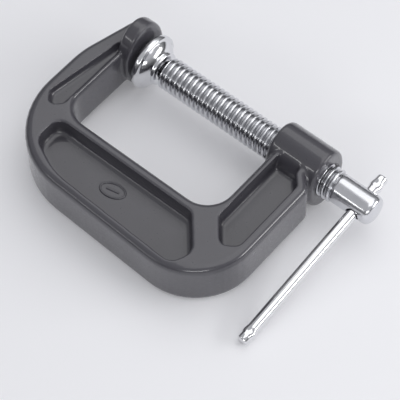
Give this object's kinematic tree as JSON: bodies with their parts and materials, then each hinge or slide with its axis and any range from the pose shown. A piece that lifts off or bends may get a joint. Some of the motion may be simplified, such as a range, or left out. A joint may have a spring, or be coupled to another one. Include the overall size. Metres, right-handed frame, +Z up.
{
  "type": "c clamp",
  "caption": "Cast C-shaped frame with a fixed anvil, a threaded clamping screw through a boss, a swivel pad and a sliding tommy bar.",
  "frame": {"origin": "centre of the anvil's clamping face, on the screw axis", "axes": "+X along the screw axis from the anvil to the screw's head, -Y toward the back of the C, +Z up from the table it lies on"},
  "size_m": [0.1563, 0.1039, 0.039],
  "materials": {
    "grey_enamel": "gloss enamel over cast iron",
    "bright_zinc": "bright zinc plate",
    "spring_steel": "oiled spring steel",
    "pad_plating": "bright plate",
    "bar_plating": "polished plate"
  },
  "bodies": {
    "frame": {"frame": "grey_enamel"},
    "carriage": {"retaining_ring": "spring_steel"},
    "screw": {"screw": "bright_zinc"},
    "pad": {"pad": "pad_plating"},
    "tommy_bar": {"tommy_bar": "bar_plating"}
  },
  "joints": [
    {"name": "jaw_travel", "type": "slide", "parent": "frame", "child": "carriage", "axis": [1, 0, 0], "range_m": [-0.0006, 0.068]},
    {"name": "screw_turn", "type": "hinge", "parent": "carriage", "child": "screw", "pos_m": [0.0127, 0, 0], "axis": [1, 0, 0], "range_deg": [-75, 8670]},
    {"name": "pad_tilt", "type": "hinge", "parent": "carriage", "child": "pad", "pos_m": [0.0064, 0, 0], "axis": [0, 0, 1], "range_deg": [-6, 6]},
    {"name": "bar_slide", "type": "slide", "parent": "screw", "child": "tommy_bar", "axis": [0, 0.9857, 0.1682], "range_m": [0, 0.068]}
  ],
  "couplings": [
    {"joint": "jaw_travel", "follows": "screw_turn", "m_per_rad": 0.00044917}
  ]
}
